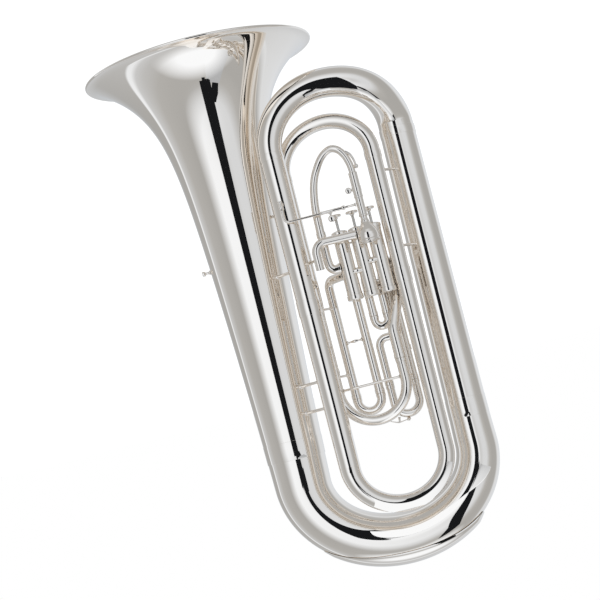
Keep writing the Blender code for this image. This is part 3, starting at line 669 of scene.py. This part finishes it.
def water_key():
    """A lever on a saddle, a coil spring about its pin, and the corked cup that seals the drain."""
    pivot = Vector((-128.5, -44.5, 771.5))
    arm = [(-21.0, 0, 0.4), (-18.0, 0, 0.8), (-14.0, 0, -0.6), (-9.0, 0, -0.2), (-4.0, 0, 0.5), (0, 0, 0.8),
           (4.0, 0, 0.1), (9.0, 0.6, -1.8), (14.5, 2.2, -4.2), (19.0, 3.7, -7.4), (22.4, 4.4, -10.4)]
    path = flowing([pivot + Vector(p) for p in arm], 6)
    radii = []
    for s in shares(path):
        end = min(1.0, s / 0.03, (1 - s) / 0.03)
        radii.append((2.0 + 0.7 * math.cos(2 * math.pi * s) ** 2) * math.sqrt(max(end, 0.05)))
    bar("water_key", path, radii, 28, 0.48, up=(0, 1, 0))
    lathe(None, [(0, 0), (3.6, 0), (3.9, 1.0), (3.9, 2.6), (0, 2.6)], False, pivot + Vector((-18.5, 0, -2.8)),
          name="water_key_cup", body="water_key_lever", steps=40)
    lathe(None, [(0, 0), (3.1, 0), (3.2, 1.4), (0, 1.4)], False, pivot + Vector((-18.5, 0, -4.2)),
          name="water_key_cork", body="water_key_lever", steps=40, material=CORK)
    lathe(None, [(0, -4.6), (0.9, -4.6), (0.9, 4.6), (0, 4.6)], False, pivot, (0, 1, 0), 20, 0.2,
          name="water_key_pin", body="third_slide")
    for tag, y in (("near", -3.9), ("far", 3.9)):
        foot = pivot + Vector((-1.5, y * 0.9, -9.0))
        bar(None, [foot, pivot + Vector((-0.6, y, -4)), pivot + Vector((0, y, 0)), pivot + Vector((0, y, 1.7))],
            [2.6, 1.7, 1.9, 0.8], 20, 0.45, up=(1, 0, 0), name=f"water_key_post_{tag}", body="third_slide")
    coil = []
    for i in range(97):
        a = 2 * math.pi * 4 * i / 96
        coil.append(pivot + Vector((1.75 * math.cos(a), -3.1 + 6.2 * i / 96, 1.75 * math.sin(a))))
    bar(None, coil, [0.32] * len(coil), 8, name="water_key_spring", body="third_slide", finish="spring_steel")


# ---- leadpipe and mouthpiece ---------------------------------------------------------------------


def leadpipe():
    arch = [(-78.5, -97.0, 466.0), (-72.5, -97.5, 460.5), (-70.3, -98.5, 450.0), (-70.2, -100.0, 420.0),
            (-70.4, -102.0, 385.0), (-72.2, -105.0, 344.0), (-78.4, -110.0, 308.5), (-84.9, -113.5, 290.0),
            (-93.2, -118.0, 275.2), (-103.2, -123.5, 261.5), (-114.5, -129.0, 252.5), (-126.0, -134.0, 249.3),
            (-137.5, -137.5, 254.5), (-146.5, -139.3, 266.5), (-152.2, -140.0, 284.0)]
    mouth = RECEIVER_Z[0]
    path = flowing([port(0, (-70.0, VALVE_Y), 466.0)] + [Vector(p) for p in arch]
                   + [Vector((MOUTHPIECE_X, MOUTHPIECE_Y, z)) for z in (mouth - 5, mouth)], 8)
    tube("leadpipe", path, tapered(path, 8.6, 6.4), TUBE_WALL, 48)
    axis = Vector((VALVE_X[0], VALVE_Y, 466.0))
    sleeve(None, axis + Vector((CASING_R + 1.6, 0, 0)), (1, 0, 0), 8.3, 9.6, 4.2, name="leadpipe_saddle",
           body="frame", steps=48)
    sleeve(None, (-70.3, -101.3, 398.0), (0, 0, 1), 7.9, 9.0, 9, name="leadpipe_ring", body="frame", steps=48)


def receiver():
    low, high = RECEIVER_Z
    profile = [(7.0, high), (8.5, high), (8.7, high - 1.4), (8.5, high - 2.8), (7.7, high - 3.8),
               (7.5, high - 8),
               (7.5, high - 35), (7.9, high - 35.8), (8.5, high - 36.4), (8.5, high - 38), (8.2, high - 39.5),
               (8.2, low + 4), (8.5, low + 3), (8.5, low + 1), (7.8, low), (5.8, low), (5.4, high - 45),
               (6.6, high - 30)]
    lathe("receiver", profile, True, (MOUTHPIECE_X, MOUTHPIECE_Y, 0), edge=0.6)


def mouthpiece():
    rim, r = RIM_Z, RIM_R
    shank_end = RECEIVER_Z[1] - 32
    outer = [(r - 2.8, rim), (r - 0.9, rim - 0.7), (r - 0.1, rim - 2.4), (r - 0.2, rim - 3.8),
             (r - 1.3, rim - 5.6),
             (r - 1.5, rim - 7.5), (r - 1.3, rim - 12), (r - 2.0, rim - 17), (r - 3.9, rim - 22.5),
             (r - 6.9, rim - 28), (r - 10.4, rim - 33), (r - 12.6, rim - 37), (8.0, rim - 39.4),
             (7.7, rim - 41),
             (6.7, rim - 43), (6.4, rim - 45.5), (6.3, RECEIVER_Z[1] + 1), (5.2, shank_end)]
    inner = [(4.1, shank_end), (3.9, rim - 36), (4.3, rim - 33.4), (7.4, rim - 28), (11.0, rim - 23),
             (13.4, rim - 18), (14.7, rim - 12), (15.6, rim - 6), (16.1, rim - 3), (16.9, rim - 0.8)]
    lathe("mouthpiece", outer + inner, True, (MOUTHPIECE_X, MOUTHPIECE_Y, 0), edge=2.2, steps=96)


def thumb_screw(node, tip, direction, stem, head_r, squeeze):
    """A screw with a round coin-like paddle."""
    stem_r = 2.0
    first = math.asin(stem_r / head_r)
    low = -stem - head_r * math.cos(first)
    head = []
    for i in range(25):
        a = first + (math.pi - first) * i / 24
        head.append((head_r * math.sin(a), low + head_r * math.cos(a)))
    lathe(node, [(0, 0), (stem_r, 0)] + head, False, tip, direction, 48, 0, squeeze=squeeze)


def mouthpipe_brace():
    z = 362.3
    corners = [(-9.5, -125.0, 329.0), (-10.5, -127.5, z), (-145.6, -139.25, z)]
    bend = rounded(corners, [8.0])
    elbow, end = bend[:-1], bend[-1]
    start = elbow[-1]
    stations = [(0.468, 2.2), (0.472, 3.2), (0.478, 3.5), (0.492, 3.5), (0.497, 3.1), (0.79, 3.1), (0.794, 3.9),
                (0.80, 4.1), (0.83, 4.1), (0.836, 3.9), (0.84, 2.2), (0.97, 2.2), (0.985, 3.2)]
    path = elbow + [along(start, end, t) for t, r in stations] + [end]
    radii = [2.6] + [2.2] * (len(elbow) - 1) + [r for t, r in stations] + [4.2]
    bar("mouthpipe_brace", path, radii, 32)
    thumb_screw("brace_screw", (-96.0, -134.6, z + 3.9), (0, 0, -1), 4.0, 6.6, (1.0, 0.42))
    sleeve(None, (-96.0, -134.6, z + 3.6), (0, 0, 1), 1.9, 3.6, 3.0, name="brace_screw_boss", body="frame",
           steps=40)
    thumb_screw("receiver_screw", (MOUTHPIECE_X + 8.9, MOUTHPIECE_Y, 334.5), (-1, 0, 0), 1.0, 6.0, (0.42, 1.0))
    sleeve(None, (MOUTHPIECE_X, MOUTHPIECE_Y, 334.5), (0, 0, 1), 8.0, 8.75, 9.0, name="receiver_band",
           body="frame",
           steps=56)
    fitting = [(0, 320.5), (4.2, 320.5), (4.6, 322.0), (4.6, 325.5), (3.9, 326.5), (3.9, 328.0), (4.6, 329.0),
               (4.6, 335.5), (3.8, 337.0), (2.9, 339.0), (2.9, 343.0), (0, 343.0)]
    lathe(None, fitting, False, (-9.6, -125.2, 0), steps=48, name="brace_socket", body="frame", edge=0.5)
    stay(None, (-9.9, -125.0, 327.0), (-12.2, -119.5, 327.0), 3.2, 4.4, name="brace_socket_foot", body="frame")

    clamp = flowing([(-150.0, -143.5, 262.0), (-157.0, -143.0, 268.5), (-161.6, -141.5, 279.0),
                     (-163.4, -140.5, 290.0)])
    bar(None, clamp, [2.7 - 0.6 * s for s in shares(clamp)], 24, 0.7, name="clamp_arm", body="frame")
    ball = [(4.3 * math.sin(math.pi * i / 20), -4.3 * math.cos(math.pi * i / 20)) for i in range(21)]
    lathe(None, ball, False, (-163.5, -140.0, 293.0), (0, 0, 1), 40, 0, name="clamp_ball", body="frame")


# ---- grip, braces and fittings -------------------------------------------------------------------


def hand_grip():
    z = 414.5
    corners = [(-132.0, -122.0, z), (-52.5, -131.0, z), (-52.5, -127.5, 464.0)]
    path = rounded(corners, [19.0])
    tube("hand_grip", path, [8.0] * len(path), 1.2, 56)
    stay("grip_brace", (-38.6, -102.5, 443.5), (-48.6, -122.6, 443.5), 2.4, 4.0)


def braces():
    bell_height = {"bell_brace_upper": 449.5, "bell_brace_lower": 662.0, "bell_brace_lowest": 713.0}
    for name, z in bell_height.items():
        tube_at, foot = Vector((-15.4, -98.0, z)), Vector((BELL_X, 0, z))
        toward = (tube_at - foot).normalized()
        node = name if name in BODY_OF else None
        stay(node, foot + toward * (bell_radius(z) - 0.6), tube_at - toward * 20.6, 2.8, 6.0,
             name=name + "_skin",
             body="frame")
    for name, node, z in (("slide_brace_skin", "slide_brace", 532.0), ("slide_brace_lower", None, 662.6)):
        tube_at, leg = Vector((-15.4, -98.0, z)), Vector((*FIRST_SLIDE["left"], z))
        toward = (leg - tube_at).normalized()
        stay(node, tube_at + toward * 20.6, leg - toward * 8.5, 2.4, 5.0, name=name, body="frame")
    for name, node, z in (("branch_brace_skin", "branch_brace", 303.5), ("branch_brace_lower", None, 451.8)):
        inner, outer = Vector((-201.4, -98.0, z)), Vector((-262.4, -30.0, z))
        toward = (outer - inner).normalized()
        stay(node, inner + toward * 15.2, outer - toward * 34.0, 2.6, 5.0, name=name, body="frame")


def strap_knob():
    z, length = 404.0, 16.0
    profile = [(0, length), (4.2, length), (5.0, length - 0.8), (5.0, length - 4.6), (4.0, length - 5.8),
               (2.8, length - 6.8), (2.4, length - 8.5), (2.4, 4.5), (3.2, 2.2), (4.6, 1.2), (4.6, -0.6),
               (0, -0.6)]
    lathe("strap_knob", profile, False, (BELL_X + bell_radius(z) + 0.6, 0, z), (1, 0, 0), 48, 0.5)
    z = 333.0
    turn = math.radians(208)
    out = Vector((math.cos(turn), math.sin(turn), 0))
    base = Vector((BELL_X, 0, z)) + out * (bell_radius(z) - 0.6)
    small = [(0, 9.0), (3.2, 9.0), (3.8, 8.2), (3.8, 6.2), (2.2, 4.8), (1.9, 2.6), (3.4, 1.2), (3.6, 0), (0, 0)]
    lathe(None, small, False, base, out, 40, 0.4, name="strap_stud", body="frame")


# ---- stage ---------------------------------------------------------------------------------------

COOL = (1.018, 1.087, 1.180)  # the light's tint that plated silver turns to a neutral white


def glow(name, colour, strength):
    made = bpy.data.materials.new(name)
    made.use_nodes = True
    nodes, links = made.node_tree.nodes, made.node_tree.links
    nodes.clear()
    light = nodes.new("ShaderNodeEmission")
    light.inputs["Color"].default_value = (*colour, 1)
    light.inputs["Strength"].default_value = strength
    out = nodes.new("ShaderNodeOutputMaterial")
    links.new(light.outputs["Emission"], out.inputs["Surface"])
    return made


def card(name, corners, material):
    """A flat studio card that only reflections see. Corners in metres."""
    mesh = bpy.data.meshes.new(name)
    mesh.from_pydata([Vector(c) for c in corners], [], [list(range(len(corners)))])
    mesh.materials.append(material)
    obj = bpy.data.objects.new(name, mesh)
    bpy.context.scene.collection.objects.link(obj)
    obj.visible_camera = False
    obj.visible_diffuse = False
    obj.visible_shadow = False
    obj.visible_transmission = False
    return obj


def floor():
    made = bpy.data.materials.new("pale_floor")
    made.use_nodes = True
    nodes, links = made.node_tree.nodes, made.node_tree.links
    nodes.clear()
    paper = nodes.new("ShaderNodeBsdfDiffuse")
    paper.inputs["Color"].default_value = (0.3, 0.3, 0.3, 1)
    own = nodes.new("ShaderNodeEmission")
    own.inputs["Strength"].default_value = 0.93
    both = nodes.new("ShaderNodeAddShader")
    out = nodes.new("ShaderNodeOutputMaterial")
    links.new(paper.outputs["BSDF"], both.inputs[0])
    links.new(own.outputs["Emission"], both.inputs[1])
    links.new(both.outputs["Shader"], out.inputs["Surface"])
    half = 30.0
    mesh = bpy.data.meshes.new("floor")
    corners = [(-half, -half, 0), (half, -half, 0), (half, half, 0), (-half, half, 0)]
    mesh.from_pydata(corners, [], [[0, 1, 2, 3]])
    mesh.materials.append(made)
    obj = bpy.data.objects.new("floor", mesh)
    obj.location.z = -0.0004
    bpy.context.scene.collection.objects.link(obj)
    obj.visible_glossy = False


def ramp(nodes, stops):
    node = nodes.new("ShaderNodeValToRGB")
    node.color_ramp.interpolation = "LINEAR"
    elements = node.color_ramp.elements
    while len(elements) > 1:
        elements.remove(elements[-1])
    for i, (position, level) in enumerate(stops):
        element = elements[0] if i == 0 else elements.new(position)
        element.position = position
        warm = min(1.0, max(0.0, (0.65 - level) / 0.2))
        element.color = (level * (1 + 0.04 * warm), level, level * (1 - 0.06 * warm), 1)
    return node


def studio():
    """A tent whose brightness depends on the angle from the front (-Y) and on the side it leans to.

    Each stop is (degrees from the front, level): a bright front sheet, dim side walls and a middling back.
    The +X side has a thin bright seam between two sheets, and the -X side a brighter sheet behind.
    """
    world = bpy.data.worlds.new("studio")
    bpy.context.scene.world = world
    world.use_nodes = True
    nodes, links = world.node_tree.nodes, world.node_tree.links
    nodes.clear()

    def calc(kind, a, b=None):
        node = nodes.new("ShaderNodeMath")
        node.operation = kind
        for socket, value in zip(node.inputs, (a, b)):
            if value is None:
                continue
            if isinstance(value, (int, float)):
                socket.default_value = value
            else:
                links.new(value, socket)
        return node.outputs[0]

    def blend(factor, first, second):
        node = nodes.new("ShaderNodeMix")
        node.data_type = "RGBA"
        for socket, value in (("Factor", factor), ("A", first), ("B", second)):
            if isinstance(value, tuple):
                node.inputs[socket].default_value = value
            else:
                links.new(value, node.inputs[socket])
        return node.outputs["Result"]

    where = nodes.new("ShaderNodeTexCoord")
    split = nodes.new("ShaderNodeSeparateXYZ")
    links.new(where.outputs["Generated"], split.inputs[0])
    x, y, z = split.outputs
    front_angle = calc("DIVIDE", calc("ARCCOSINE", calc("MULTIPLY", y, -1.0)), math.pi)
    front, wall, back = 0.9, 0.4, 0.6
    plus_x = [(0, front), (10, 0.95), (30, 0.95), (55, wall), (90, 0.45), (112, 0.6), (116, 0.9), (119, 0.9),
              (121, wall), (150, wall), (180, back)]
    minus_x = [(0, front), (10, 0.6), (25, 0.7), (42, 0.7), (60, 0.45), (75, wall), (105, wall), (120, 0.75),
               (150, 0.75), (180, back)]
    sides = [ramp(nodes, [(a / 180, level) for a, level in stops]) for stops in (plus_x, minus_x)]
    for side in sides:
        links.new(front_angle, side.inputs["Fac"])
    across = calc("SQRT", calc("ADD", calc("MULTIPLY", x, x), calc("ADD", calc("MULTIPLY", z, z), 1e-6)))
    lean = calc("ADD", calc("MULTIPLY", calc("DIVIDE", x, across), -0.5), 0.5)
    level = blend(lean, sides[0].outputs["Color"], sides[1].outputs["Color"])
    up = ramp(nodes, [(0.0, 0.0), (0.88, 0.0), (0.98, 1.0), (1.0, 1.0)])
    links.new(z, up.inputs["Fac"])
    behind = ramp(nodes, [(0.0, 1.0), (0.44, 1.0), (0.56, 0.0), (1.0, 0.0)])
    links.new(calc("ADD", calc("MULTIPLY", y, 0.5), 0.4), behind.inputs["Fac"])
    top_light = calc("MULTIPLY", up.outputs["Color"], behind.outputs["Color"])
    level = blend(top_light, level, (1.0, 1.0, 1.0, 1.0))
    tinted = nodes.new("ShaderNodeMix")
    tinted.data_type = "RGBA"
    tinted.blend_type = "MULTIPLY"
    tinted.inputs["Factor"].default_value = 1.0
    links.new(level, tinted.inputs["A"])
    tinted.inputs["B"].default_value = (*COOL, 1)
    seen = nodes.new("ShaderNodeBackground")
    links.new(tinted.outputs["Result"], seen.inputs["Color"])
    white = nodes.new("ShaderNodeBackground")
    white.inputs["Color"].default_value = (1, 1, 1, 1)
    white.inputs["Strength"].default_value = 1.0
    ray = nodes.new("ShaderNodeLightPath")
    pick = nodes.new("ShaderNodeMixShader")
    links.new(ray.outputs["Is Camera Ray"], pick.inputs[0])
    links.new(seen.outputs[0], pick.inputs[1])
    links.new(white.outputs[0], pick.inputs[2])
    out = nodes.new("ShaderNodeOutputWorld")
    links.new(pick.outputs[0], out.inputs["Surface"])


def fading(name, centre, near, far, low):
    """Light that is full within near of the centre and falls to low at far, in metres along the card."""
    made = glow(name, COOL, 1.0)
    nodes, links = made.node_tree.nodes, made.node_tree.links
    where = nodes.new("ShaderNodeTexCoord")
    reach = nodes.new("ShaderNodeVectorMath")
    reach.operation = "DISTANCE"
    reach.inputs[1].default_value = centre
    links.new(where.outputs["Object"], reach.inputs[0])
    level = nodes.new("ShaderNodeMapRange")
    level.inputs["From Min"].default_value, level.inputs["From Max"].default_value = near, far
    level.inputs["To Min"].default_value, level.inputs["To Max"].default_value = 1.0, low
    links.new(reach.outputs["Value"], level.inputs["Value"])
    light = next(node for node in nodes if node.bl_idname == "ShaderNodeEmission")
    links.new(level.outputs["Result"], light.inputs["Strength"])
    return made


def cards():
    """What the silver mirrors on the viewer's side: dark band and wing, white shelf, dark ceiling and step.

    far and near are depths in front of the tuba, top is the dark band's top, and shelf_z is the white
    shelf's height.
    """
    black = glow("black_card", (0.010, 0.011, 0.013), 1.0)
    white = glow("white_card", COOL, 1.0)
    far, near, top, shelf_z = -1.18, -0.62, 0.895, 0.930
    band = [(0.17, -0.25), (0.17, top), (-0.235, top), (-0.235, -0.25)]
    card("dark_band", [(x, far, z) for x, z in band], black)
    wing = [(-0.15, top), (-0.16, 1.02), (-0.45, 2.0), (-0.60, 3.4), (-1.3, 3.4), (-0.75, 2.0), (-0.48, 1.15),
            (-0.30, top)]
    card("dark_wing", [(x, far, z) for x, z in wing], black)
    shelf = [(-0.36, -0.10), (-0.03, -0.10), (-0.03, -0.70), (-0.36, -0.70)]
    card("white_shelf", [(x, y, shelf_z) for x, y in shelf], white)
    under = fading("shelf_underside", (0.03, -0.18, shelf_z - 0.002), 0.18, 0.47, 0.45)
    card("pale_underside", [(x, y, shelf_z - 0.002) for x, y in shelf], under)
    ceiling = [(-0.10, near), (0.125, near), (0.17, far), (-0.235, far)]
    card("dark_ceiling", [(x, y, top - 0.002) for x, y in ceiling], black)
    step_z = shelf_z - 0.004
    step = [(0.065, 0.86), (0.065, 1.0), (-0.005, 1.0), (-0.005, step_z), (-0.08, step_z), (-0.08, 0.86)]
    card("dark_step", [(x, near, z) for x, z in step], black)


def camera():
    data = bpy.data.cameras.new("camera")
    data.sensor_width = 36.0
    data.lens = 99.9
    data.clip_end = 200.0
    obj = bpy.data.objects.new("camera", data)
    bpy.context.scene.collection.objects.link(obj)
    place = Vector((-0.002, -3.2, 0.76))
    down_tilt = math.radians(4.685)
    lean = math.radians(14.15)
    way = Vector((0, math.cos(down_tilt), -math.sin(down_tilt)))
    top = way.cross(Vector((-1, 0, 0))).normalized()
    if top.z > 0:
        top = -top
    top = Matrix.Rotation(lean, 3, way) @ top
    side = way.cross(top).normalized()
    obj.matrix_world = Matrix.Translation(place) @ Matrix((side, top, -way)).transposed().to_4x4()
    bpy.context.scene.camera = obj


# ---- assembly ------------------------------------------------------------------------------------

bell()
large_bows()
bow_guard()
valves()
slides()
water_key()
leadpipe()
receiver()
mouthpiece()
mouthpipe_brace()
hand_grip()
braces()
strap_knob()
floor()
studio()
cards()
camera()
settings = bpy.context.scene.view_settings
settings.view_transform = "Standard"
settings.look = "None"
